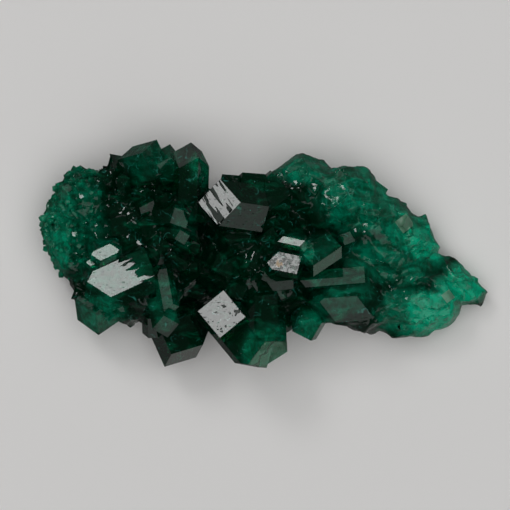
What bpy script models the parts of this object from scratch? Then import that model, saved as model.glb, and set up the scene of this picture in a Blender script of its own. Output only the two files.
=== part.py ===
"""A cluster of dioptase: deep green crystals grown together, standing on the foot where it broke from its rock.

Frame: metres, +Z up, X along the cluster's length, the foot cut flat at Z = 0.
Every size in the tables below is in millimetres.
"""

import random
from dataclasses import dataclass
from math import cos, pi, radians, sin

import bmesh
import bpy
from mathutils import Matrix, Vector

MM = 0.001

# Driving dimensions of the species and of the specimen
CAP_LEAN = radians(51.0)  # between a crystal's long axis and the way a cap face looks
LENGTH = 50.0  # of the whole cluster
FOOT_DEPTH = 20.0  # how far the foot's cutter reaches below the cut
SLENDERNESS = 2.2  # a small crystal's length over its width
GOLDEN_TURN = pi * (3.0 - 5.0**0.5)  # spreads headings evenly round a lump
MERGE = 0.0001  # corners closer than this are one corner

# Looks that several crystals share, because they grew parallel to each other
SKYWARD = (-0.20, 0.28, 0.94)
WEST = (-0.91, -0.42, -0.06)
SOUTHEAST = (0.60, -0.72, 0.34)


@dataclass(frozen=True)
class Crystal:
    """A six-sided prism with three cap faces, the habit of dioptase.

    tip: where the cap faces meet.
    points: the way the tip aims.
    broad: the way the broad face looks, made square to the axis.
    width: across two opposite prism faces.
    length: from the tip to the root.
    turn: 0 or 60 slants the broad face's end one way or the other, 30 puts a cap face there.
    flat: how much closer to the axis the broad face grew, as a share.
    double: whether the root end has a cap too.
    """

    tip: tuple
    points: tuple
    broad: tuple
    width: float
    length: float
    turn: int = 0
    flat: float = 0.0
    double: bool = False


@dataclass(frozen=True)
class Block:
    """A piece bounded by breaks: its size runs along, across and through its top face."""

    centre: tuple
    size: tuple
    along: tuple
    top: tuple


@dataclass(frozen=True)
class Lump:
    """A broken mass with no crystal faces of its own: an egg shape bounded by flat breaks."""

    centre: tuple
    radii: tuple
    breaks: int
    seed: int
    heading: float = 0.0


@dataclass(frozen=True)
class Patch:
    """Small crystals strewn over an egg shape, of widths between two limits."""

    centre: tuple
    radii: tuple
    count: int
    widths: tuple
    disorder: float
    seed: int


LEFT_ROSETTE = (
    # the long pale-faced crystal, the two that lie parallel above it, and what carries them
    Crystal((-20.2, -4.9, 9.6), WEST, SKYWARD, 4.9, 8.6, 0, 0.3),
    Crystal((-19.5, -0.8, 10.5), WEST, SKYWARD, 1.9, 4.1, 0, 0.25, True),
    Crystal((-20.0, -1.3, 10.3), WEST, SKYWARD, 0.9, 1.8, 0, 0.3),
    Crystal((-17.7, 0.3, 10.4), (-0.3, 0.5, 0.8), (0.9, 0.3, 0.0), 3.2, 7.0),
    # the green hexagon at the lower left, seen end on, and the thin one beside it
    Crystal((-18.9, -6.5, 8.6), (-0.1, -0.18, 0.98), (-0.47, -0.88, 0.0), 5.1, 8.0),
    Crystal((-21.7, -5.0, 6.5), (-0.8, -0.35, 0.5), (0.1, 0.5, 0.8), 2.6, 7.0),
    # the dark blocks at the bottom
    Crystal((-10.4, -11.2, 8.2), (-0.2, -0.5, 0.84), (0.42, 0.91, 0.0), 5.6, 9.0, 30),
    Crystal((-10.8, -9.3, 10.2), (0.17, -0.96, 0.24), (0.0, 0.0, 1.0), 3.0, 4.5, 30),
    Crystal((-10.5, -6.7, 10.6), (0.17, -0.95, -0.26), (0.0, -0.3, 0.95), 2.0, 5.6),
    Crystal((-13.0, -9.4, 6.3), (-0.4, -0.75, 0.5), (0.2, 0.5, 0.7), 3.4, 8.0),
    # the crown at the top
    Crystal((-13.7, 11.4, 9.4), (-0.07, 0.42, 0.9), (0.0, 1.0, 0.0), 5.0, 9.0, 60),
    Crystal((-10.5, 10.9, 8.4), (0.2, 0.4, 0.9), (0.6, 0.8, 0.0), 4.0, 8.0),
    Crystal((-16.5, 9.9, 8.0), (-0.12, 0.3, 0.94), (0.0, 1.0, 0.0), 3.9, 8.0),
    Crystal((-18.5, 9.6, 6.5), (-0.5, 0.7, 0.5), (0.3, 0.0, 0.8), 1.8, 5.0),
    Crystal((-8.2, 12.6, 7.2), (0.03, 0.98, 0.2), (1.0, 0.0, 0.1), 3.7, 9.0, 30),
    # the blocks that aim right, over the gap
    Crystal((-8.2, 4.6, 12.2), (0.7, 0.1, 0.7), (-0.57, -0.52, 0.64), 2.8, 6.0, 30),
    Crystal((-8.3, 2.1, 12.0), (0.75, -0.1, 0.65), (-0.5, -0.45, 0.7), 1.9, 5.0, 30),
    Crystal((-7.2, 0.2, 11.0), (0.83, -0.5, 0.33), SKYWARD, 1.4, 4.0, 0, -0.35),
    Crystal((-7.5, -2.0, 10.6), (0.83, -0.5, 0.33), SKYWARD, 1.5, 4.0, 0, -0.35),
    # the pale blade near the crown
    Crystal((-15.9, 9.1, 9.6), (-0.05, 0.75, 0.66), SKYWARD, 1.5, 6.0, 60),
)

RIGHT_ROSETTE = (
    # the striated block, its bright face a cap face
    Crystal((-7.4, 5.8, 12.6), (-0.88, 0.13, 0.45), (0.41, 0.17, 0.85), 5.3, 7.4, 30),
    # the dark ones behind it
    Crystal((-4.7, 9.0, 10.2), (-0.5, 0.8, 0.4), (0.6, 0.2, 0.7), 3.0, 7.0),
    Crystal((-2.4, 9.2, 10.5), (-0.4, 0.75, 0.5), (0.7, 0.2, 0.6), 3.8, 8.0),
    Crystal((0.9, 9.2, 10.2), (0.1, 0.8, 0.58), (0.5, 0.6, -0.6), 4.8, 9.0),
    # the leaning crystal below and the upright one beside it
    Crystal((0.3, -12.7, 10.8), SOUTHEAST, (-0.39, 0.11, 0.91), 4.3, 10.0, 0, 0.3),
    Crystal((0.4, -12.3, 10.2), (0.05, -0.95, 0.3), (0.1, 0.25, 0.95), 4.0, 9.4, 0, 0.1),
    # the one under the clear green block
    Crystal((5.6, -0.9, 10.9), (-0.17, -0.3, 0.93), (0.35, 0.94, 0.0), 4.0, 7.0, 30),
    # the long prism that runs right and the thin one above it
    Crystal((13.5, -4.8, 7.7), (1.0, 0.07, -0.05), (0.0, -0.5, 0.87), 4.9, 8.9, 0, 0.15, True),
    Crystal((3.1, -3.0, 9.9), (-1.0, -0.08, 0.0), (0.0, -0.35, 0.94), 1.9, 8.2, 0, -0.2),
    # flat-lying blades between
    Crystal((1.3, 1.7, 12.0), (-0.95, 0.2, -0.26), SKYWARD, 1.3, 4.0, 60, 0.0, True),
    Crystal((0.1, -0.6, 11.5), (-0.95, 0.2, -0.26), SKYWARD, 2.6, 4.2, 60, 0.4),
    Crystal((-1.6, -3.0, 11.2), (-0.97, -0.1, 0.2), (0.0, -0.45, 0.89), 2.8, 4.6, 0, -0.3),
    # the deep ones in the middle
    Crystal((-4.0, 1.0, 11.4), (-0.3, -0.2, 0.93), (0.8, -0.3, 0.2), 4.8, 8.0),
    Crystal((-2.6, -2.4, 11.0), (0.1, -0.4, 0.9), (0.9, 0.2, 0.0), 3.4, 7.0, 60),
    Crystal((-5.9, -1.6, 10.2), (-0.5, -0.3, 0.8), (0.0, -0.9, 0.2), 3.0, 7.0),
    # the rounded one at the bottom
    Crystal((5.3, -9.7, 7.6), (0.1, -0.85, 0.5), (0.8, -0.3, 0.5), 3.5, 7.0),
    # small blocks on the broken mass at the right
    Crystal((15.6, 3.2, 8.2), (0.1, -0.35, 0.93), (-0.5, 0.85, 0.2), 2.2, 4.0, 30),
    Crystal((9.6, 2.6, 11.2), (0.2, 0.5, 0.85), (0.2, -0.9, 0.3), 1.9, 4.0),
    Crystal((8.6, 5.8, 11.2), (-0.3, 0.4, 0.85), (0.2, -0.9, 0.3), 2.6, 4.0),
    Crystal((21.4, -4.6, 4.9), (0.2, 0.3, 0.9), (0.6, -0.6, 0.3), 1.9, 3.5),
)

BLOCKS = (
    # the pitted plate on the leaning crystal
    Block((-4.5, -7.0, 10.9), (4.1, 3.7, 2.4), SOUTHEAST, SKYWARD),
    # the clear green block
    Block((6.35, 0.05, 11.4), (4.0, 2.5, 2.4), (0.79, 0.53, -0.30), (-0.02, 0.50, 0.87)),
)

LUMPS = (
    # the two hidden hearts that the rosettes grow from
    Lump((-13.4, 0.6, 3.0), (7.4, 9.0, 7.2), 44, 1),
    Lump((0.0, -0.3, 3.0), (8.0, 7.8, 7.6), 44, 2),
    # what fills the cleft between them and the corner below the lobe
    Lump((-6.6, 0.6, 1.6), (3.2, 7.4, 3.6), 26, 3),
    Lump((-18.4, -2.6, 3.2), (3.5, 3.5, 4.0), 26, 4),
    # the sugary lobe at the left end
    Lump((-22.0, 3.0, 4.0), (3.0, 4.2, 3.8), 60, 5),
    Lump((-20.2, 6.0, 4.0), (3.5, 3.6, 4.2), 44, 6),
    Lump((-21.5, 0.0, 3.4), (2.4, 2.9, 3.4), 36, 7),
    # the broken mass at the right
    Lump((4.6, 7.0, 4.0), (4.4, 4.3, 5.4), 34, 8),
    Lump((8.7, 5.0, 4.2), (5.3, 5.4, 6.0), 40, 9),
    Lump((11.6, 2.9, 3.8), (7.6, 4.5, 5.6), 38, 15, -34.0),
    Lump((14.3, 1.3, 3.4), (4.9, 4.2, 4.6), 36, 10),
    Lump((9.0, -1.4, 3.6), (5.0, 4.4, 5.0), 30, 11),
    Lump((16.9, 1.7, 3.0), (3.2, 2.2, 3.4), 24, 17, -38.0),
    Lump((15.6, -2.0, 2.6), (6.2, 3.6, 4.0), 34, 16, -20.0),
    Lump((16.2, -5.0, 2.8), (6.8, 4.5, 4.2), 44, 12),
    Lump((11.4, -5.0, 3.2), (5.4, 3.9, 4.4), 32, 13),
    Lump((21.3, -2.9, 2.0), (4.8, 2.0, 2.7), 28, 14, -35.0),
)

PATCHES = (
    # between the large crystals of the two rosettes
    Patch((-13.2, 0.8, 2.4), (8.4, 9.2, 9.2), 34, (2.0, 3.8), 0.45, 11),
    Patch((0.4, -0.6, 2.4), (8.0, 8.6, 9.4), 30, (2.0, 3.8), 0.45, 11),
    # the sugary lobe at the left end
    Patch((-22.1, 3.2, 3.2), (2.9, 4.6, 5.0), 40, (0.8, 1.8), 0.4, 13),
    Patch((-20.4, 6.4, 3.2), (3.5, 3.8, 5.2), 20, (1.0, 2.0), 0.4, 14),
    # steps and blocks on the broken mass
    Patch((4.6, 7.0, 3.4), (4.3, 4.2, 6.8), 12, (1.2, 2.4), 0.4, 15),
    Patch((9.6, 4.2, 3.6), (5.6, 5.3, 7.5), 22, (1.2, 2.6), 0.4, 16),
    Patch((14.0, 1.3, 2.8), (4.7, 4.0, 6.0), 14, (1.0, 2.2), 0.4, 17),
    Patch((16.0, -5.0, 2.2), (6.5, 4.2, 5.5), 20, (1.0, 2.4), 0.4, 18),
    Patch((21.2, -3.0, 1.6), (3.2, 2.0, 3.6), 8, (0.8, 1.5), 0.4, 19),
)

CHIPS = (
    # the pale crystal's ragged end
    Block((-13.6, -0.9, 12.5), (2.2, 1.6, 1.0), WEST, (-0.1, 0.5, 0.85)),
)


def outline_object(name, shape, collection):
    """A mesh object made from a bmesh in millimetres."""
    bmesh.ops.recalc_face_normals(shape, faces=shape.faces[:])
    if shape.calc_volume(signed=True) < 0.0:
        bmesh.ops.reverse_faces(shape, faces=shape.faces[:])
    shape.transform(Matrix.Scale(MM, 4))
    mesh = bpy.data.meshes.new(name)
    shape.to_mesh(mesh)
    shape.free()
    made = bpy.data.objects.new(name, mesh)
    collection.objects.link(made)
    return made


def trim(shape, normal, distance):
    """Cuts off what lies beyond a plane and closes the cut."""
    geometry = shape.verts[:] + shape.edges[:] + shape.faces[:]
    cut = bmesh.ops.bisect_plane(
        shape,
        geom=geometry,
        plane_co=normal * distance,
        plane_no=normal,
        clear_outer=True,
    )
    rim = [part for part in cut["geom_cut"] if isinstance(part, bmesh.types.BMEdge)]
    if rim:
        bmesh.ops.edgenet_fill(shape, edges=rim)


def turned_to(place, along, look):
    """The placing whose local Z runs along and whose local X looks the given way, made square to it."""
    axis = Vector(along).normalized()
    side = Vector(look)
    side = (side - axis * side.dot(axis)).normalized()
    turn = Matrix((side, axis.cross(side), axis)).transposed().to_4x4()
    return Matrix.Translation(place) @ turn


def crystal_shape(crystal):
    """A block trimmed by the prism faces and the cap faces."""
    shape = bmesh.new()
    bmesh.ops.create_cube(shape, size=2.0)
    spare = crystal.width
    reach = Matrix.Diagonal((spare, spare, crystal.length / 2 + spare, 1.0))
    shape.transform(Matrix.Translation((0, 0, -crystal.length / 2)) @ reach)
    if not crystal.double:
        trim(shape, Vector((0.0, 0.0, -1.0)), crystal.length)
    cap_on_broad = crystal.turn == 30
    for number in range(6):
        angle = number * pi / 3 + (pi / 6 if cap_on_broad else 0.0)
        closer = crystal.flat if number == 0 else 0.0
        trim(shape, Vector((cos(angle), sin(angle), 0.0)), crystal.width / 2 * (1.0 - closer))
    for number in range(3):
        angle = radians(crystal.turn - 30.0) + number * 2 * pi / 3
        outward = Vector((cos(angle) * sin(CAP_LEAN), sin(angle) * sin(CAP_LEAN), cos(CAP_LEAN)))
        trim(shape, outward, 0.0)
        if crystal.double:
            trim(shape, -outward, crystal.length * cos(CAP_LEAN))
    bmesh.ops.remove_doubles(shape, verts=shape.verts[:], dist=MERGE)
    shape.transform(turned_to(crystal.tip, crystal.points, crystal.broad))
    return shape


def lump_shape(lump):
    """A block broken all round along flats that keep near the lump's egg shape."""
    shape = bmesh.new()
    bmesh.ops.create_cube(shape, size=4.0 * max(lump.radii))
    chance = random.Random(lump.seed)
    for number in range(lump.breaks):
        height = 1.0 - (2.0 * number + chance.uniform(0.4, 1.6)) / lump.breaks
        heading = number * GOLDEN_TURN + chance.uniform(-0.3, 0.3)
        level = (1.0 - height * height) ** 0.5
        outward = Vector((cos(heading) * level, sin(heading) * level, height))
        reach = Vector(a * b for a, b in zip(outward, lump.radii)).length
        trim(shape, outward, reach * chance.uniform(0.9, 1.0))
    bmesh.ops.remove_doubles(shape, verts=shape.verts[:], dist=MERGE)
    shape.transform(Matrix.Translation(lump.centre) @ Matrix.Rotation(radians(lump.heading), 4, "Z"))
    return shape


def block_shape(block):
    """A plain block."""
    shape = bmesh.new()
    bmesh.ops.create_cube(shape, size=1.0)
    along, across, through = block.size
    shape.transform(Matrix.Diagonal((through, across, along, 1.0)))
    shape.transform(turned_to(block.centre, block.along, block.top))
    return shape


def filling_crystals(patch):
    """The crystals of one patch, each aiming outwards from the patch's heart."""
    chance = random.Random(patch.seed)
    for _ in range(patch.count):
        heading = chance.uniform(0, 2 * pi)
        height = chance.uniform(0.0, 0.95)
        level = (1.0 - height * height) ** 0.5
        way = Vector((cos(heading) * level, sin(heading) * level, height))
        tip = Vector(patch.centre) + Vector(a * b for a, b in zip(way, patch.radii))
        aim = way + patch.disorder * Vector(chance.uniform(-1, 1) for _ in range(3))
        side = Vector(chance.uniform(-1, 1) for _ in range(3))
        width = chance.uniform(*patch.widths)
        yield Crystal(tuple(tip), tuple(aim), tuple(side), width, width * SLENDERNESS)


def reached_from(first):
    """Every corner that edges join to the first one."""
    reached = {first}
    waiting = [first]
    while waiting:
        corner = waiting.pop()
        for edge in corner.link_edges:
            other = edge.other_vert(corner)
            if other not in reached:
                reached.add(other)
                waiting.append(other)
    return reached


def keep_one_body(cluster):
    """Applies the joins, then drops crumbs that hang free and hollows that nothing opens."""
    mesh = bpy.data.meshes.new_from_object(cluster.evaluated_get(bpy.context.evaluated_depsgraph_get()))
    cluster.modifiers.clear()
    cluster.data = mesh
    shape = bmesh.new()
    shape.from_mesh(mesh)
    left = set(shape.verts)
    bodies = []
    while left:
        body = reached_from(next(iter(left)))
        bodies.append(body)
        left -= body
    bodies.sort(key=len)
    crumbs = [corner for body in bodies[:-1] for corner in body]
    bmesh.ops.delete(shape, geom=crumbs, context="VERTS")
    shape.to_mesh(mesh)
    shape.free()


def helper_collection(name):
    """A collection whose objects only shape the cluster."""
    made = bpy.data.collections.new(name)
    bpy.context.scene.collection.children.link(made)
    return made


def dioptase_green():
    """Glassy deep green."""
    material = bpy.data.materials.new("dioptase")
    material.use_nodes = True
    shader = material.node_tree.nodes["Principled BSDF"]
    shader.inputs["Base Color"].default_value = (0.0, 0.16, 0.08, 1.0)
    shader.inputs["Roughness"].default_value = 0.08
    shader.inputs["Metallic"].default_value = 0.0
    return material


def build():
    """Grows the crystals and lumps, joins them in one solid and cuts its foot flat."""
    for old in list(bpy.data.objects):
        bpy.data.objects.remove(old)
    stone = helper_collection("dioptase_cluster")
    growth = helper_collection("growth")
    cutters = helper_collection("cutters")
    crystals = [*LEFT_ROSETTE, *RIGHT_ROSETTE]
    for patch in PATCHES:
        crystals += filling_crystals(patch)
    for number, crystal in enumerate(crystals):
        outline_object(f"crystal_{number:03d}", crystal_shape(crystal), growth)
    for number, lump in enumerate(LUMPS[1:]):
        outline_object(f"lump_{number:02d}", lump_shape(lump), growth)
    for number, block in enumerate(BLOCKS):
        outline_object(f"block_{number:02d}", block_shape(block), growth)
    for number, chip in enumerate(CHIPS):
        outline_object(f"chip_{number:02d}", block_shape(chip), cutters)
    floor = bmesh.new()
    bmesh.ops.create_cube(floor, size=1.0)
    floor.transform(Matrix.Diagonal((2 * LENGTH, 2 * LENGTH, FOOT_DEPTH, 1.0)))
    floor.transform(Matrix.Translation((0, 0, -FOOT_DEPTH / 2)))
    outline_object("foot_cutter", floor, cutters)
    for helper in [*growth.objects, *cutters.objects]:
        helper.hide_render = True
        helper.display_type = "WIRE"
    cluster = outline_object("dioptase_cluster", lump_shape(LUMPS[0]), stone)
    cluster.data.materials.append(dioptase_green())
    join = cluster.modifiers.new("grown_together", "BOOLEAN")
    join.operation = "UNION"
    join.operand_type = "COLLECTION"
    join.collection = growth
    join.solver = "EXACT"
    cut = cluster.modifiers.new("broken_away", "BOOLEAN")
    cut.operation = "DIFFERENCE"
    cut.operand_type = "COLLECTION"
    cut.collection = cutters
    cut.solver = "EXACT"
    keep_one_body(cluster)
    return cluster


if __name__ == "__main__":
    build()
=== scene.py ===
"""A dioptase cluster, dressed for its picture: the stone, its sugary crystals, a plain studio and the camera.

Sizes in the classes are in millimetres unless a field says metres. Meshes are made in metres, in the model's frame.
"""

import logging
from dataclasses import dataclass
from enum import Enum
from math import cos, pi, radians, sin
from typing import Any, Union

import bmesh
import bpy
from mathutils import Matrix, Vector, noise


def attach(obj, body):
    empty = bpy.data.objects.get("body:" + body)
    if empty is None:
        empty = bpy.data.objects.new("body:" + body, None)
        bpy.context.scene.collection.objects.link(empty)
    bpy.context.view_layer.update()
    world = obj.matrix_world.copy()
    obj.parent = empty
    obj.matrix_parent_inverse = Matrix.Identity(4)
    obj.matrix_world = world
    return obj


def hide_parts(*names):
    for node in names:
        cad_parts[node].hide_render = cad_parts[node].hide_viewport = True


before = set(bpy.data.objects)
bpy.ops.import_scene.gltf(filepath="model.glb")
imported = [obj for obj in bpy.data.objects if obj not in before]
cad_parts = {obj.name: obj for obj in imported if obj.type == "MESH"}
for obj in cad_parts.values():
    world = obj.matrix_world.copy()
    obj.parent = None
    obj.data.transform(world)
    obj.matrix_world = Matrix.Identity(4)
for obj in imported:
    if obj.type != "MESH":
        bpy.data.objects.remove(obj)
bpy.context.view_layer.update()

MM = 0.001
NODE = "dioptase_cluster"
LOG = logging.getLogger("dioptase")


class Surface(Enum):
    """How a face of the stone came about."""

    GROWN = 0
    SUGARY = 1
    BROKEN = 2


class Flow:
    """A value on a shader socket. Sums and products of flows add Math nodes."""

    def __init__(self, board: "Board", socket: bpy.types.NodeSocket) -> None:
        """Wraps one output socket of a board."""
        self.board = board
        self.socket = socket

    def __add__(self, other: "Value") -> "Flow":
        """self + other."""
        return self.board.maths("ADD", self, other)

    def __radd__(self, other: "Value") -> "Flow":
        """other + self."""
        return self.board.maths("ADD", other, self)

    def __sub__(self, other: "Value") -> "Flow":
        """self - other."""
        return self.board.maths("SUBTRACT", self, other)

    def __rsub__(self, other: "Value") -> "Flow":
        """other - self."""
        return self.board.maths("SUBTRACT", other, self)

    def __mul__(self, other: "Value") -> "Flow":
        """self * other."""
        return self.board.maths("MULTIPLY", self, other)

    def __rmul__(self, other: "Value") -> "Flow":
        """other * self."""
        return self.board.maths("MULTIPLY", other, self)

    def larger(self, other: "Value") -> "Flow":
        """The larger of the two."""
        return self.board.maths("MAXIMUM", self, other)

    def size(self) -> "Flow":
        """The value without its sign."""
        return self.board.maths("ABSOLUTE", self, 0.0)

    def ramp(self, start: float, end: float) -> "Flow":
        """A smooth step from 0 at start to 1 at end.

        Args:
            start: the value that gives 0; it may be the larger one.
            end: the value that gives 1.

        Returns:
            The stepped value, between 0 and 1.
        """
        node = self.board.node(
            "ShaderNodeMapRange",
            {"interpolation_type": "SMOOTHSTEP"},
            {"Value": self, "From Min": start, "From Max": end, "To Min": 0.0, "To Max": 1.0},
        )
        return Flow(self.board, node.outputs["Result"])


Value = Union[Flow, float]
Colour = tuple[float, float, float]
Point = tuple[float, float, float]


class Board:
    """A node tree that is being wired."""

    def __init__(self, tree: bpy.types.NodeTree) -> None:
        """Starts on an empty tree."""
        self.tree = tree
        tree.nodes.clear()

    def node(self, kind: str, settings: dict[str, Any], sockets: dict[Any, Any]) -> bpy.types.Node:
        """Adds a node.

        Args:
            kind: the node's type.
            settings: its properties, set first.
            sockets: values or flows for its inputs, by name or number.

        Returns:
            The new node.
        """
        made = self.tree.nodes.new(kind)
        for name, value in settings.items():
            setattr(made, name, value)
        for key, value in sockets.items():
            if isinstance(value, Flow):
                self.tree.links.new(value.socket, made.inputs[key])
            else:
                made.inputs[key].default_value = value
        return made

    def maths(self, operation: str, first: Value, second: Value) -> Flow:
        """One Math node on two values."""
        made = self.node("ShaderNodeMath", {"operation": operation}, {0: first, 1: second})
        return Flow(self, made.outputs[0])

    def vector(self, operation: str, first: Any, second: Any) -> Flow:
        """One Vector Math node on two vectors."""
        made = self.node("ShaderNodeVectorMath", {"operation": operation}, {0: first, 1: second})
        return Flow(self, made.outputs[0])

    def length(self, vector: Flow) -> Flow:
        """A vector's length."""
        made = self.node("ShaderNodeVectorMath", {"operation": "LENGTH"}, {0: vector})
        return Flow(self, made.outputs["Value"])

    def along(self, vector: Flow, way: Point) -> Flow:
        """How far a vector reaches along a way."""
        made = self.node("ShaderNodeVectorMath", {"operation": "DOT_PRODUCT"}, {0: vector, 1: way})
        return Flow(self, made.outputs["Value"])

    def blend(self, share: Value, first: Any, second: Any) -> Flow:
        """Colour first where share is 0, second where it is 1.

        Args:
            share: how much of the second colour.
            first: a colour or a flow.
            second: a colour or a flow.

        Returns:
            The blended colour.
        """
        colours = [value if isinstance(value, Flow) else (*value, 1.0) for value in (first, second)]
        made = self.node(
            "ShaderNodeMix",
            {"data_type": "RGBA", "clamp_factor": True},
            {0: share, 6: colours[0], 7: colours[1]},
        )
        return Flow(self, made.outputs[2])

    def cloud(self, place: Flow, scale: float, detail: float = 4.0, bend: float = 0.0) -> Flow:
        """Soft noise between 0 and 1.

        Args:
            place: where it is read, in millimetres.
            scale: blotches to the millimetre.
            detail: how many finer layers it has.
            bend: how much it is stirred.

        Returns:
            The noise.
        """
        made = self.node(
            "ShaderNodeTexNoise",
            {"noise_dimensions": "3D"},
            {"Vector": place, "Scale": scale, "Detail": detail, "Roughness": 0.55, "Distortion": bend},
        )
        return Flow(self, made.outputs[0])

    def from_point(self, place: Flow, point: Point) -> Flow:
        """The offset of a place from a point."""
        return self.vector("SUBTRACT", place, point)

    def near(self, place: Flow, point: Point, start: float, end: float) -> Flow:
        """1 within end of a point, 0 past start, in millimetres."""
        return self.length(self.from_point(place, point)).ramp(start, end)

    def rise(self, place: Flow, point: Point, slope: Point) -> Flow:
        """The height of a slope that is 0 at a point."""
        return self.along(self.from_point(place, point), slope)

    def packed(self, first: Value, second: Value, third: Value) -> Flow:
        """Three values as one vector."""
        made = self.node("ShaderNodeCombineXYZ", {}, {"X": first, "Y": second, "Z": third})
        return Flow(self, made.outputs[0])

    def stretched(self, place: Flow, factors: Union[Flow, Point]) -> Flow:
        """A place with each axis scaled."""
        return self.vector("MULTIPLY", place, factors)

    def cells(self, place: Flow, scale: float) -> Flow:
        """The distance to the nearest cell's heart."""
        made = self.node("ShaderNodeTexVoronoi", {}, {"Vector": place, "Scale": scale})
        return Flow(self, made.outputs["Distance"])


@dataclass(frozen=True)
class Bloom:
    """A part of the stone where it is milky and bright, seen from above: an ellipse and its strength."""

    centre: tuple[float, float]
    radii: tuple[float, float]
    strength: float


@dataclass(frozen=True)
class StoneFinish:
    """Dioptase: glassy, deep green where it is thick, milky and frosted where it is broken."""

    name: str = "dioptase_stone"
    refraction: float = 1.67
    clearness: float = 0.62
    drink: Colour = (0.0, 0.76, 0.58)
    drink_density: float = 1300.0
    # Deep green of the thick body, also the colour of the painted shade in grooves, pits and the facet crack.
    deep_and_shade: Colour = (0.0, 0.03, 0.012)
    # Wisp green of the body, also the colour of the painted shadow on the torn end.
    wisp_and_shadow: Colour = (0.0, 0.24, 0.11)
    bright: Colour = (0.0, 0.95, 0.52)
    # Painted highlight colour for the pale glints, also used for the pale specks.
    glint_and_speck: Colour = (0.12, 0.95, 0.75)
    rust: Colour = (0.75, 0.5, 0.22)
    # Tan of the small weathered blocks, also the colour of the painted grey reflection on the lit facet and block
    # side.
    tan_and_sheen: Colour = (0.34, 0.62, 0.42)
    dull: float = 0.45
    least_milk: float = 0.0
    glassy: float = 0.04
    frosted: float = 0.1
    torn_end: Point = (-13.9, -0.9, 11.9)
    torn_heart: Point = (-13.6, -0.9, 11.7)
    striped_face: Point = (-5.2, 5.6, 12.0)
    striped_heart: Point = (-5.6, 5.9, 12.4)
    pitted_plate: Point = (-4.6, -6.8, 12.0)
    worn_face: Point = (2.35, -0.95, 12.9)
    rust_spot: Point = (1.75, -1.0, 12.8)
    tan_blocks: tuple[tuple[Point, float], ...] = (((15.8, 3.5, 7.9), 0.85), ((20.7, -4.7, 6.1), 0.6))
    sheen_facet: Point = (0.2, -11.2, 11.0)
    blade: Point = (-9.63, -0.62, 0.0)
    clear_block: Point = (6.35, 0.05, 11.4)
    clear_block_side: Point = (7.1, -0.8, 11.9)
    blooms: tuple[Bloom, ...] = (
        Bloom((-23.6, 3.2), (2.6, 6.0), 0.62),
        Bloom((-21.0, 4.0), (3.4, 6.4), 0.3),
        Bloom((-16.9, -2.7), (3.4, 1.9), 0.29),
        Bloom((-17.8, 0.4), (2.0, 1.3), 0.29),
        Bloom((-11.2, -5.6), (1.8, 3.0), 0.22),
        Bloom((-9.2, 3.2), (1.6, 2.6), 0.2),
        Bloom((3.2, 1.6), (1.4, 0.8), 0.26),
        Bloom((8.6, -4.0), (3.8, 2.6), 0.25),
        Bloom((-18.6, -6.8), (2.8, 2.4), 0.42),
        Bloom((-12.8, 11.0), (3.6, 2.6), 0.2),
        Bloom((-7.0, 9.8), (1.5, 2.6), 0.34),
        Bloom((0.6, -10.6), (3.2, 3.0), 0.3),
        Bloom((5.4, -8.6), (2.4, 2.6), 0.4),
        Bloom((4.7, 0.0), (0.8, 1.5), 0.6),
        Bloom((6.4, 0.2), (2.8, 2.2), 0.14),
        Bloom((5.0, 9.8), (5.0, 2.2), 0.5),
        Bloom((11.5, 6.5), (6.0, 4.4), 0.57),
        Bloom((17.0, 2.8), (3.4, 3.2), 0.8),
        Bloom((18.4, 1.2), (2.6, 2.8), 1.0),
        Bloom((14.5, -0.6), (5.6, 3.0), 0.45),
        Bloom((17.4, -6.6), (5.2, 3.4), 0.55),
        Bloom((18.8, -6.4), (4.2, 3.0), 1.0),
        Bloom((22.6, -3.4), (3.4, 2.6), 1.0),
    )

    def bloom_share(self, board: Board, place: Flow) -> Flow:
        """How milky the stone is at a place.

        Args:
            board: the material's board.
            place: the place in millimetres.

        Returns:
            A share from 0 to 1.
        """
        stirred = board.node(
            "ShaderNodeTexNoise", {}, {"Vector": place, "Scale": 0.35, "Detail": 3.0}
        ).outputs["Color"]
        wander = board.stretched(Flow(board, stirred), (2.6, 2.6, 0.0))
        wandered = board.vector("ADD", place, board.vector("SUBTRACT", wander, (1.3, 1.3, 0.0)))
        total: Value = 0.0
        for bloom in self.blooms:
            offset = board.from_point(wandered, (*bloom.centre, 0.0))
            squeezed = board.stretched(offset, (1.0 / bloom.radii[0], 1.0 / bloom.radii[1], 0.0))
            share = board.length(squeezed).ramp(1.15, 0.65) * bloom.strength
            total = share if isinstance(total, float) else total.larger(share)
        return total.larger(self.least_milk)

    def veins(self, board: Board, place: Flow, scale: float, width: float) -> Flow:
        """Thin curved lines, here and there.

        Args:
            board: the material's board.
            place: the place in millimetres.
            scale: lines to the millimetre.
            width: how wide a line is, against its spacing.

        Returns:
            1 on a line, 0 off it.
        """
        stirred = board.cloud(place, scale, 1.0, 0.8)
        line = (stirred - 0.5).size().ramp(width, width * 0.3)
        return line * board.cloud(place, scale * 1.7, 2.0).ramp(0.53, 0.6)

    def glint_dashes(self, board: Board, place: Flow) -> Flow:
        """Short straight glints inside the stone, most of them parallel, painted into the colour as pale streaks."""
        along = board.along(place, (0.87, 0.5, 0.1))
        across = board.along(place, (-0.5, 0.87, 0.3))
        return board.cloud(board.packed(along * 0.8, across * 6.0, 1.0), 1.0, 1.0).ramp(0.72, 0.78)

    def shadowed_torn_end(self, board: Board, place: Flow) -> Flow:
        """The torn end of the long pale crystal, streaked in the colour with a painted shadow of the neighbouring
        crystal.
        """
        along = board.along(place, (0.907, 0.419, 0.0))
        across = board.along(place, (-0.419, 0.907, 0.0))
        streaks = board.cloud(board.packed(along * 0.35, across * 2.2, 4.0), 1.0, 3.0)
        edge = (board.along(place, (0.68, 0.73, 0.0)) + (streaks - 0.5) * 5.0).ramp(-11.1, -10.9)
        return edge * board.near(place, self.torn_end, 2.6, 2.3)

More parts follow.
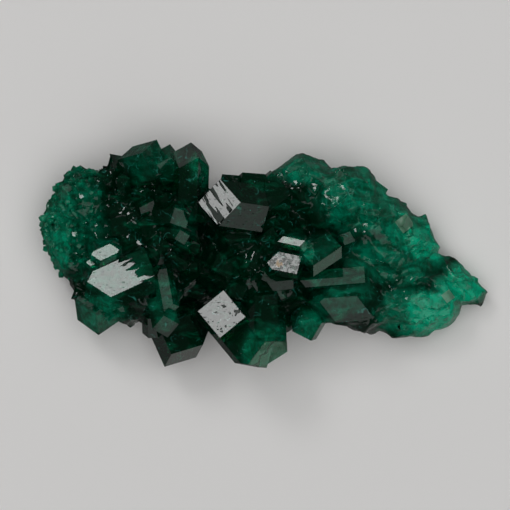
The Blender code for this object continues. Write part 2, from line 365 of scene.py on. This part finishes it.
    def stripes(self, board: Board, place: Flow) -> Flow:
        """The striations across the bright end of the big block; the colour paints them dark as painted shade in the
        grooves.
        """
        across = board.along(place, (0.83, 0.55, 0.0))
        along = board.along(place, (-0.55, 0.83, 0.0))
        bands = board.cloud(board.packed(across * 1.8, along * 0.22, 2.0), 1.0, 2.0)
        fading = (across + along * 0.35).ramp(2.8, 0.2) * 0.06
        face = board.along(place, (0.76, -0.65, 0.0)).ramp(-5.9, -6.1)
        return (bands + fading).ramp(0.535, 0.56) * board.near(place, self.striped_face, 3.9, 3.4) * face

    def pocks(self, board: Board, place: Flow) -> Flow:
        """The small pits of the plate on the leaning crystal, and fewer elsewhere; the colour paints them dark as
        painted shade.
        """
        plate = board.near(place, self.pitted_plate, 3.2, 2.4)
        crowd = board.cloud(place, 0.9, 2.0).ramp(0.46, 0.6) * 0.5 + 0.2
        size = (plate * crowd + 0.045) * board.cloud(place, 1.1, 1.0).ramp(0.42, 0.66)
        return (board.cells(place, 3.2) - size * 0.8).ramp(0.03, -0.03)

    def weathered(self, board: Board, place: Flow) -> Flow:
        """The dull tan faces of the small blocks that stand on the broken mass."""
        total: Value = 0.0
        for middle, half in self.tan_blocks:
            offset = board.from_point(place, middle)
            length = board.along(offset, (0.8, 0.6, 0.0)).size()
            width = board.along(offset, (-0.6, 0.8, 0.0)).size()
            depth = board.along(offset, (0.0, 0.0, 0.5)).size()
            share = length.larger(width).larger(depth).ramp(half, half * 0.88)
            total = share if isinstance(total, float) else total.larger(share)
        return total

    def lit_facet(self, board: Board, place: Flow) -> Flow:
        """The small facet beside the tip of the leaning crystal, grey where it mirrors the fill lamp; the colour
        adds a painted grey reflection there.
        """
        edge = board.along(place, (0.8, -0.6, 0.0)).ramp(5.94, 6.0)
        edge = edge * board.along(place, (0.0, 1.0, 0.0)).ramp(-9.7, -9.76)
        return edge * board.near(place, self.sheen_facet, 3.3, 3.2)

    def lit_side(self, board: Board, place: Flow) -> Flow:
        """The long side of the clear green block, grey where it mirrors the fill lamp; the colour adds a painted
        grey reflection there.
        """
        offset = board.from_point(place, self.clear_block)
        side = board.along(offset, (0.607, -0.678, 0.401)).ramp(1.2, 1.23)
        side = side * board.along(offset, (-0.01, 0.5, 0.86)).ramp(-1.32, -1.26)
        return side * board.length(offset).ramp(2.9, 2.8)

    def shaded_blade(self, board: Board, place: Flow) -> Flow:
        """The narrow blade between the rosettes, which is turned a little from the light."""
        flat = board.stretched(place, (1.0, 1.0, 0.0))
        return board.near(flat, self.blade, 1.5, 1.35)

    def worn(self, board: Board, place: Flow) -> Flow:
        """The scuffed parts of the small bright face with the stain."""
        scuffs = board.cloud(place, 2.4, 3.0).ramp(0.36, 0.56)
        return scuffs * board.near(place, self.worn_face, 2.0, 1.7)

    def facet_crack(self, board: Board, place: Flow) -> Flow:
        """The crack along that facet; the colour paints it dark as painted shade."""
        waver = board.cloud(place, 1.3, 3.0) * 1.2
        line = (board.along(place, (0.8, -0.6, 0.0)) + waver - 7.25).size()
        return line.ramp(0.1, 0.05) * self.lit_facet(board, place)

    def relief(self, board: Board, place: Flow, milky: Flow) -> Flow:
        """The small relief of the faces, as a height in millimetres.

        Args:
            board: the material's board.
            place: the place in millimetres.
            milky: how milky the stone is there.

        Returns:
            The height.
        """
        ripples = board.cloud(place, 0.7, 2.0) * 0.006 + board.cloud(place, 7.0, 1.0) * 0.0012
        scratches = board.cloud(board.stretched(place, (0.5, 3.0, 3.0)), 2.2, 2.0).ramp(0.66, 0.74) * -0.01
        folds = board.cloud(board.stretched(place, (0.8, 1.4, 1.0)), 0.8, 2.0, 1.0) * 0.07
        crests = self.veins(board, place, 0.7, 0.05) * 0.05
        grain = board.cloud(board.stretched(place, (1.0, 3.2, 2.0)), 1.6, 2.0, 0.6) * 0.014
        turned_away = (-0.4, 0.4, 0.0)
        shadowed_torn = self.shadowed_torn_end(board, place) * board.rise(place, self.torn_heart, turned_away)
        shaded_scoring = self.stripes(board, place) * board.rise(place, self.striped_heart, turned_away)
        facet = self.lit_facet(board, place) * board.rise(place, self.sheen_facet, (0.24, 0.09, 0.0))
        side = self.lit_side(board, place) * board.rise(place, self.clear_block_side, (0.35, -0.134, -0.734))
        blade = self.shaded_blade(board, place) * board.rise(place, self.blade, (-0.3, 0.3, 0.0))
        sunk = self.pocks(board, place) * -0.15 + self.facet_crack(board, place) * -0.2
        broken = (folds + crests + grain) * milky.ramp(0.25, 0.65)
        turned = shadowed_torn + shaded_scoring + facet + side + blade
        return ripples + scratches + turned + sunk + broken

    def make(self) -> bpy.types.Material:
        """Builds the material.

        Returns:
            The finished material.
        """
        material = bpy.data.materials.new(self.name)
        material.use_nodes = True
        board = Board(material.node_tree)
        coordinates = board.node("ShaderNodeTexCoord", {}, {}).outputs["Object"]
        place = board.stretched(Flow(board, coordinates), (1.0 / MM, 1.0 / MM, 1.0 / MM))
        milky = self.bloom_share(board, place)
        streaks = board.cloud(board.stretched(place, (0.7, 1.5, 0.7)), 0.55, 4.0, 1.3)
        veils = board.cloud(board.stretched(place, (2.0, 0.6, 1.0)), 0.7, 4.0, 1.8)
        body = board.blend(streaks.ramp(0.52, 0.84) + veils.ramp(0.6, 0.76) * 0.5, self.deep_and_shade, self.wisp_and_shadow)
        shine = streaks.ramp(0.36, 0.66) * 0.75 + veils.ramp(0.45, 0.65) * 0.4 + milky.ramp(0.8, 1.0) * 0.35
        lit = board.blend(shine, self.wisp_and_shadow, self.bright)
        colour = board.blend(milky, body, lit)
        # Painted highlights: flecks, thin hairs and straight dashes of pale colour stand for glints of light; the
        # specks are pale spots mixed in.
        glint_flecks = board.cloud(place, 2.4, 3.0, 0.8).ramp(0.66, 0.74) * milky.ramp(0.3, 0.9) * 0.5
        specks = board.cells(place, 1.6).ramp(0.09, 0.05) * board.cloud(place, 0.9, 1.0).ramp(0.5, 0.56)
        glint_hairs = self.veins(board, board.stretched(place, (1.0, 1.0, 0.5)), 0.55, 0.014)
        glints_and_specks = glint_flecks.larger(specks * 0.8).larger(glint_hairs * 0.35).larger(self.glint_dashes(board, place) * 0.3)
        colour = board.blend(glints_and_specks, colour, self.glint_and_speck)
        shadowed_torn = self.shadowed_torn_end(board, place)
        shaded_scoring = self.stripes(board, place).larger(self.pocks(board, place)).larger(self.facet_crack(board, place))
        # Painted shadow: darker green streaks on the torn end stand for the neighbouring crystal's shadow.
        colour = board.blend(shadowed_torn * streaks.ramp(0.3, 0.7) * 0.45, colour, self.wisp_and_shadow)
        # Painted shade: the grooves, pits and the facet crack are darkened to the deep colour.
        colour = board.blend(shaded_scoring, colour, self.deep_and_shade)
        stain = board.near(place, self.rust_spot, 0.62, 0.3)
        stain = stain * board.cloud(place, 2.2, 2.0).ramp(0.4, 0.55)
        colour = board.blend(stain, colour, self.rust)
        weathered = self.weathered(board, place)
        # Painted reflection: the lit facet and the block's long side are tinted toward tan-grey where they mirror
        # the fill lamp; the tan blocks keep their own colour.
        painted_grey_sheen = self.lit_facet(board, place).larger(self.lit_side(board, place)) * 0.3
        colour = board.blend((weathered * 0.7).larger(painted_grey_sheen), colour, self.tan_and_sheen)
        rough = milky.ramp(0.25, 0.65) * board.cloud(place, 1.7, 3.0).ramp(0.3, 0.55) * self.frosted + self.glassy
        for mark in (shaded_scoring * self.dull, weathered * 0.4, self.worn(board, place) * 0.3, stain * 0.35, specks * 0.4):
            rough = rough.larger(mark)
        bump = board.node(
            "ShaderNodeBump",
            {},
            {"Strength": 1.0, "Distance": MM, "Height": self.relief(board, place, milky)},
        )
        shader = board.node(
            "ShaderNodeBsdfPrincipled",
            {},
            {
                "Base Color": colour,
                "Roughness": rough,
                "IOR": self.refraction,
                "Transmission Weight": self.clearness,
                "Normal": Flow(board, bump.outputs["Normal"]),
            },
        )
        drink = board.node(
            "ShaderNodeVolumeAbsorption", {}, {"Color": (*self.drink, 1.0), "Density": self.drink_density}
        )
        board.node(
            "ShaderNodeOutputMaterial",
            {},
            {"Surface": Flow(board, shader.outputs["BSDF"]), "Volume": Flow(board, drink.outputs["Volume"])},
        )
        return material


@dataclass(frozen=True)
class Lump:
    """A part of the stone bounded by breaks: an egg shape turned about the vertical, and how its breaks look."""

    centre: tuple[float, float, float]
    radii: tuple[float, float, float]
    surface: Surface
    heading: float = 0.0

    def owns(self, middle: Vector, outward: Vector) -> bool:
        """Whether a face is one of this lump's breaks.

        Args:
            middle: the face's middle.
            outward: the way it looks.

        Returns:
            True if the face's plane lies where this lump was broken.
        """
        turn = Matrix.Rotation(radians(-self.heading), 3, "Z")
        offset = turn @ (middle - Vector(self.centre))
        look = turn @ outward
        reach = Vector(a * b for a, b in zip(look, self.radii)).length
        share = look.dot(offset) / reach
        spread = Vector(a / b for a, b in zip(offset, self.radii)).length
        return 0.893 < share < 1.006 and spread < 1.35


@dataclass
class Stone:
    """The cluster itself: the CAD solid with its breaks roughened and its edges slightly worn."""

    grain: float = 0.32
    edge_wear: float = 0.07
    lumps: tuple[Lump, ...] = (
        Lump((-13.4, 0.6, 3.0), (7.4, 9.0, 7.2), Surface.BROKEN),
        Lump((0.0, -0.3, 3.0), (8.0, 7.8, 7.6), Surface.BROKEN),
        Lump((-6.6, 0.6, 1.6), (3.2, 7.4, 3.6), Surface.BROKEN),
        Lump((-18.4, -2.6, 3.2), (3.5, 3.5, 4.0), Surface.BROKEN),
        Lump((-22.0, 3.0, 4.0), (3.0, 4.2, 3.8), Surface.SUGARY),
        Lump((-20.2, 6.0, 4.0), (3.5, 3.6, 4.2), Surface.SUGARY),
        Lump((-21.5, 0.0, 3.4), (2.4, 2.9, 3.4), Surface.SUGARY),
        Lump((4.6, 7.0, 4.0), (4.4, 4.3, 5.4), Surface.BROKEN),
        Lump((8.7, 5.0, 4.2), (5.3, 5.4, 6.0), Surface.BROKEN),
        Lump((11.6, 2.9, 3.8), (7.6, 4.5, 5.6), Surface.BROKEN, -34.0),
        Lump((14.3, 1.3, 3.4), (4.9, 4.2, 4.6), Surface.BROKEN),
        Lump((9.0, -1.4, 3.6), (5.0, 4.4, 5.0), Surface.BROKEN),
        Lump((16.9, 1.7, 3.0), (3.2, 2.2, 3.4), Surface.BROKEN, -38.0),
        Lump((15.6, -2.0, 2.6), (6.2, 3.6, 4.0), Surface.BROKEN, -20.0),
        Lump((16.2, -5.0, 2.8), (6.8, 4.5, 4.2), Surface.BROKEN),
        Lump((11.4, -5.0, 3.2), (5.4, 3.9, 4.4), Surface.BROKEN),
        Lump((21.3, -2.9, 2.0), (4.8, 2.0, 2.7), Surface.BROKEN, -35.0),
    )

    def surface_of(self, face: bmesh.types.BMFace) -> Surface:
        """How a face of the bare solid came about."""
        for lump in self.lumps:
            if lump.owns(face.calc_center_median(), face.normal):
                return lump.surface
        return Surface.GROWN

    def bare(self) -> bmesh.types.BMesh:
        """The CAD solid in millimetres, its flat faces whole again, each marked with its surface."""
        shape = bmesh.new()
        shape.from_mesh(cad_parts[NODE].data)
        shape.transform(Matrix.Scale(1.0 / MM, 4))
        bmesh.ops.remove_doubles(shape, verts=shape.verts[:], dist=0.0005)
        bmesh.ops.dissolve_limit(shape, angle_limit=radians(0.2), verts=shape.verts[:], edges=shape.edges[:])
        self.wear_edges(shape)
        mark = shape.faces.layers.int.new("surface")
        for face in shape.faces:
            standing = face.calc_center_median().z > 0.01
            face[mark] = self.surface_of(face).value if standing else Surface.GROWN.value
        return shape

    def wear_edges(self, shape: bmesh.types.BMesh) -> None:
        """Gives the sharp outer edges of the crystals their hair-thin worn strip."""
        sharp = [
            edge
            for edge in shape.edges
            if len(edge.link_faces) == 2
            and edge.calc_face_angle_signed() > radians(25.0)
            and edge.calc_length() > 8.0 * self.edge_wear
            and all(self.surface_of(face) is Surface.GROWN for face in edge.link_faces)
            and min(corner.co.z for corner in edge.verts) > 1.0
        ]
        bmesh.ops.bevel(
            shape,
            geom=sharp,
            offset=self.edge_wear,
            offset_type="OFFSET",
            segments=1,
            affect="EDGES",
            clamp_overlap=True,
        )

    def refine(self, shape: bmesh.types.BMesh) -> None:
        """Splits the broken faces until their edges are near the grain."""
        mark = shape.faces.layers.int["surface"]
        rough = [face for face in shape.faces if face[mark]]
        bmesh.ops.triangulate(shape, faces=rough)
        for _ in range(7):
            long = [
                edge
                for edge in shape.edges
                if edge.calc_length() > self.grain * 1.5 and any(face[mark] for face in edge.link_faces)
            ]
            if not long:
                break
            bmesh.ops.subdivide_edges(shape, edges=long, cuts=1)
            rough = [face for face in shape.faces if face[mark] and len(face.verts) > 3]
            bmesh.ops.triangulate(shape, faces=rough)

    def height(self, place: Vector, surface: Surface) -> float:
        """How far a break's surface stands out at a place.

        Args:
            place: the place in millimetres.
            surface: the kind of break.

        Returns:
            The height in millimetres, mostly below 0.
        """
        broad = noise.noise(place * 0.4)
        if surface is Surface.SUGARY:
            near = noise.voronoi(place * 0.8)[0]
            fine = noise.noise(place * 1.9)
            return 0.35 * broad + 0.35 * min(near[1] - near[0], 0.45) - 0.2 + 0.08 * fine
        near = noise.voronoi(place * 0.42)[0]
        crest = min(near[1] - near[0], 0.5)
        ripple = sin(6.0 * (place - Vector((19.0, -2.0, 2.0))).length + 3.0 * broad)
        return 0.4 * broad + 0.45 * crest - 0.3 + 0.03 * ripple + 0.05 * noise.noise(place * 1.5)

    def roughen(self, shape: bmesh.types.BMesh) -> None:
        """Moves the corners that belong to breaks alone."""
        mark = shape.faces.layers.int["surface"]
        shape.normal_update()
        moves = {}
        for corner in shape.verts:
            kinds = {face[mark] for face in corner.link_faces}
            if len(kinds) == 1 and Surface.GROWN.value not in kinds:
                surface = Surface(kinds.pop())
                moves[corner] = corner.normal * self.height(corner.co, surface)
        for corner, move in moves.items():
            corner.co += move
            corner.co.z = max(corner.co.z, 0.05)
        for face in shape.faces:
            face.smooth = bool(face[mark])

    def sugary_ground(self, shape: bmesh.types.BMesh) -> bpy.types.Mesh:
        """The sugary faces alone, in an order that is the same on every run.

        Args:
            shape: the whole stone.

        Returns:
            A mesh for crystals to grow on.
        """
        mark = shape.faces.layers.int["surface"]
        faces = [face for face in shape.faces if face[mark] == Surface.SUGARY.value]
        corners = sorted({corner for face in faces for corner in face.verts}, key=lambda corner: corner.co[:])
        numbers = {corner: number for number, corner in enumerate(corners)}
        rows = []
        for face in faces:
            row = [numbers[corner] for corner in face.verts]
            first = row.index(min(row))
            rows.append(row[first:] + row[:first])
        ground = bpy.data.meshes.new("sugary_ground")
        ground.from_pydata([corner.co[:] for corner in corners], [], sorted(rows))
        return ground

    def make(self, material: bpy.types.Material) -> tuple[bpy.types.Object, bpy.types.Mesh]:
        """Builds the stone.

        Args:
            material: its finish.

        Returns:
            The stone's object, and a mesh of its sugary faces for crystals to grow on.
        """
        shape = self.bare()
        self.refine(shape)
        self.roughen(shape)
        shape.transform(Matrix.Scale(MM, 4))
        mesh = bpy.data.meshes.new("stone")
        shape.to_mesh(mesh)
        ground = self.sugary_ground(shape)
        shape.free()
        mesh.materials.append(material)
        stone = bpy.data.objects.new("stone", mesh)
        bpy.context.scene.collection.objects.link(stone)
        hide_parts(NODE)
        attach(stone, "root")
        return stone, ground


@dataclass(frozen=True)
class Druse:
    """The small crystals that cover the sugary lobe."""

    width: float = 1.0
    length: float = 2.2
    cap_lean: float = radians(51.0)
    crowd: float = 0.9
    lowest: float = 1.3
    sizes: tuple[float, float] = (0.25, 0.75)
    lean: float = 0.55
    seed: int = 5

    def seed_crystal(self) -> bpy.types.Object:
        """One six-sided crystal with a three-faced cap, its tip just above the origin.

        Returns:
            The crystal's object, linked nowhere.
        """
        shape = bmesh.new()
        bmesh.ops.create_cube(shape, size=2.0 * self.length)
        walls = [Vector((cos(turn), sin(turn), 0.0)) for turn in (number * pi / 3 for number in range(6))]
        cuts = [(wall, self.width / 2) for wall in walls]
        cuts.append((Vector((0.0, 0.0, -1.0)), self.length * 0.6))
        for number in range(3):
            turn = pi / 6 + number * 2 * pi / 3
            flat = sin(self.cap_lean)
            cap = Vector((cos(turn) * flat, sin(turn) * flat, cos(self.cap_lean)))
            cuts.append((cap, self.length * 0.4 * cos(self.cap_lean)))
        for way, reach in cuts:
            parts = shape.verts[:] + shape.edges[:] + shape.faces[:]
            cut = bmesh.ops.bisect_plane(shape, geom=parts, plane_co=way * reach, plane_no=way, clear_outer=True)
            rim = [part for part in cut["geom_cut"] if isinstance(part, bmesh.types.BMEdge)]
            bmesh.ops.edgenet_fill(shape, edges=rim)
        bmesh.ops.recalc_face_normals(shape, faces=shape.faces[:])
        shape.transform(Matrix.Scale(MM, 4))
        mesh = bpy.data.meshes.new("seed_crystal")
        shape.to_mesh(mesh)
        shape.free()
        return bpy.data.objects.new("seed_crystal", mesh)

    def tree(self) -> bpy.types.NodeTree:
        """The node tree that strews the crystals over a surface.

        Returns:
            The tree.
        """
        tree = bpy.data.node_groups.new("druse", "GeometryNodeTree")
        face = tree.interface
        face.new_socket("Ground", in_out="INPUT", socket_type="NodeSocketGeometry")
        face.new_socket("Crystal", in_out="INPUT", socket_type="NodeSocketObject")
        for name in ("Crowd", "Lowest", "Smallest", "Largest", "Lean"):
            face.new_socket(name, in_out="INPUT", socket_type="NodeSocketFloat")
        face.new_socket("Seed", in_out="INPUT", socket_type="NodeSocketInt")
        face.new_socket("Finish", in_out="INPUT", socket_type="NodeSocketMaterial")
        face.new_socket("Crystals", in_out="OUTPUT", socket_type="NodeSocketGeometry")
        board = Board(tree)
        given = board.node("NodeGroupInput", {}, {}).outputs
        feed = {socket.name: Flow(board, socket) for socket in given if socket.name}
        position = Flow(board, board.node("GeometryNodeInputPosition", {}, {}).outputs[0])
        standing = board.maths("GREATER_THAN", board.along(position, (0.0, 0.0, 1.0)), feed["Lowest"])
        strewn = board.node(
            "GeometryNodeDistributePointsOnFaces",
            {"distribute_method": "RANDOM"},
            {"Mesh": feed["Ground"], "Selection": standing, "Density": feed["Crowd"], "Seed": feed["Seed"]},
        )
        tilt = board.node(
            "FunctionNodeRandomValue",
            {"data_type": "FLOAT_VECTOR"},
            {0: (-1.0, -1.0, -3.1), 1: (1.0, 1.0, 3.1), "Seed": 3},
        )
        leaning = board.stretched(Flow(board, tilt.outputs[0]), board.packed(feed["Lean"], feed["Lean"], 2.0))
        turned = board.node(
            "FunctionNodeRotateRotation",
            {"rotation_space": "LOCAL"},
            {"Rotation": Flow(board, strewn.outputs["Rotation"]), "Rotate By": leaning},
        )
        size = board.node(
            "FunctionNodeRandomValue",
            {"data_type": "FLOAT"},
            {2: feed["Smallest"], 3: feed["Largest"], "Seed": 9},
        )
        pattern = board.node("GeometryNodeObjectInfo", {}, {"Object": feed["Crystal"]})
        placed = board.node(
            "GeometryNodeInstanceOnPoints",
            {},
            {
                "Points": Flow(board, strewn.outputs["Points"]),
                "Instance": Flow(board, pattern.outputs["Geometry"]),
                "Rotation": Flow(board, turned.outputs[0]),
                "Scale": Flow(board, size.outputs[1]),
            },
        )
        real = board.node("GeometryNodeRealizeInstances", {}, {0: Flow(board, placed.outputs[0])})
        dressed = board.node(
            "GeometryNodeSetMaterial",
            {},
            {"Geometry": Flow(board, real.outputs[0]), "Material": feed["Finish"]},
        )
        board.node("NodeGroupOutput", {}, {0: Flow(board, dressed.outputs[0])})
        return tree

    def make(self, ground: bpy.types.Mesh, material: bpy.types.Material) -> bpy.types.Object:
        """Grows the small crystals.

        Args:
            ground: the faces that they grow on.
            material: their finish.

        Returns:
            One object with all of them.
        """
        holder = bpy.data.objects.new("druse", ground)
        bpy.context.scene.collection.objects.link(holder)
        pattern = self.seed_crystal()
        tree = self.tree()
        grow = holder.modifiers.new("grow", "NODES")
        grow.node_group = tree
        values = {
            "Crystal": pattern,
            "Crowd": self.crowd / (MM * MM),
            "Lowest": self.lowest * MM,
            "Smallest": self.sizes[0],
            "Largest": self.sizes[1],
            "Lean": self.lean,
            "Seed": self.seed,
            "Finish": material,
        }
        for item in tree.interface.items_tree:
            if item.name in values:
                grow[item.identifier] = values[item.name]
        mesh = bpy.data.meshes.new_from_object(holder.evaluated_get(bpy.context.evaluated_depsgraph_get()))
        holder.modifiers.clear()
        holder.data = mesh
        bpy.data.objects.remove(pattern)
        bpy.data.meshes.remove(ground)
        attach(holder, "root")
        return holder


@dataclass(frozen=True)
class Lamp:
    """A softbox aimed at the stone: sizes in metres, its brightness, and whether faces mirror it."""

    name: str
    way: tuple[float, float, float]
    distance: float
    size: tuple[float, float]
    radiance: float
    mirrored: bool = True

    def make(self) -> None:
        """Hangs the lamp, unseen by the camera."""
        data = bpy.data.lights.new(self.name, "AREA")
        data.shape = "RECTANGLE"
        data.size, data.size_y = self.size
        data.energy = self.radiance * pi * self.size[0] * self.size[1]
        lamp = bpy.data.objects.new(self.name, data)
        way = Vector(self.way).normalized()
        lamp.location = way * self.distance
        lamp.rotation_euler = way.to_track_quat("Z", "Y").to_euler()
        lamp.visible_camera = False
        lamp.visible_glossy = self.mirrored
        bpy.context.scene.collection.objects.link(lamp)


@dataclass(frozen=True)
class Studio:
    """A pale floor, softboxes and the camera that looks straight down."""

    frame_width: float = 57.17
    level: float = 10.0
    camera_height: float = 1200.0
    camera_place: tuple[float, float] = (-1.009, -0.056)
    sensor: float = 36.0
    floor_width: float = 30.0
    lamps: tuple[Lamp, ...] = (
        Lamp("key", (-0.3685, 0.5264, 0.7672), 1.2, (0.32, 0.32), 4.8),
        Lamp("fill", (0.30, -0.68, 0.67), 1.2, (1.06, 0.92), 0.42),
        Lamp("rim", (0.0, 0.97, 0.22), 1.4, (2.6, 0.5), 0.35),
        Lamp("ceiling", (0.0, 0.0, 1.0), 2.0, (3.0, 3.0), 1.35, False),
    )

    def make_floor(self) -> None:
        """Lays the floor."""
        shape = bmesh.new()
        bmesh.ops.create_grid(shape, x_segments=1, y_segments=1, size=self.floor_width / 2)
        mesh = bpy.data.meshes.new("floor")
        shape.to_mesh(mesh)
        shape.free()
        material = bpy.data.materials.new("floor_pale")
        material.use_nodes = True
        board = Board(material.node_tree)
        shader = board.node(
            "ShaderNodeBsdfPrincipled", {}, {"Base Color": (0.8, 0.79, 0.78, 1.0), "Roughness": 0.9}
        )
        board.node("ShaderNodeOutputMaterial", {}, {"Surface": Flow(board, shader.outputs["BSDF"])})
        mesh.materials.append(material)
        floor = bpy.data.objects.new("floor", mesh)
        bpy.context.scene.collection.objects.link(floor)
        floor.visible_glossy = False

    def make_air(self) -> None:
        """Dim surroundings for the stone, pale ones behind it for the camera."""
        world = bpy.data.worlds.new("studio")
        bpy.context.scene.world = world
        world.use_nodes = True
        board = Board(world.node_tree)
        seen = Flow(board, board.node("ShaderNodeLightPath", {}, {}).outputs["Is Camera Ray"])
        way = board.node("ShaderNodeTexCoord", {}, {}).outputs["Generated"]
        below = board.along(Flow(board, way), (0.0, 0.0, 1.0)).ramp(0.0, -0.3)
        around = board.blend(below, (0.02, 0.02, 0.02), (0.07, 0.07, 0.07))
        bounced = board.along(Flow(board, way), (0.50, -0.56, -0.66)).ramp(0.72, 0.95)
        around = board.blend(bounced, around, (0.26, 0.26, 0.25))
        colour = board.blend(seen, around, (0.62, 0.62, 0.62))
        back = board.node("ShaderNodeBackground", {}, {"Color": colour})
        board.node("ShaderNodeOutputWorld", {}, {"Surface": Flow(board, back.outputs["Background"])})

    def make_camera(self) -> None:
        """Hangs the camera over the stone with a long lens."""
        data = bpy.data.cameras.new("camera")
        data.sensor_width = self.sensor
        data.lens = self.sensor * (self.camera_height - self.level) / self.frame_width
        data.clip_start, data.clip_end = 0.01, 100.0
        camera = bpy.data.objects.new("camera", data)
        camera.location = Vector((*self.camera_place, self.camera_height)) * MM
        bpy.context.scene.collection.objects.link(camera)
        bpy.context.scene.camera = camera

    def make(self) -> None:
        """Sets up the whole studio."""
        self.make_floor()
        self.make_air()
        self.make_camera()
        for lamp in self.lamps:
            lamp.make()
        bpy.context.scene.view_settings.view_transform = "Standard"


def main() -> None:
    """Builds the pieces in order."""
    logging.basicConfig(level=logging.INFO, format="%(message)s")
    stone_finish = StoneFinish().make()
    stone, ground = Stone().make(stone_finish)
    LOG.info("stone: %d faces, %d of them sugary", len(stone.data.polygons), len(ground.polygons))
    druse_finish = StoneFinish(name="dioptase_druse", least_milk=0.4, drink_density=700.0).make()
    druse = Druse().make(ground, druse_finish)
    LOG.info("druse: %d faces", len(druse.data.polygons))
    Studio().make()
    LOG.info("studio: floor, lamps and camera")


if __name__ == "__main__":
    main()
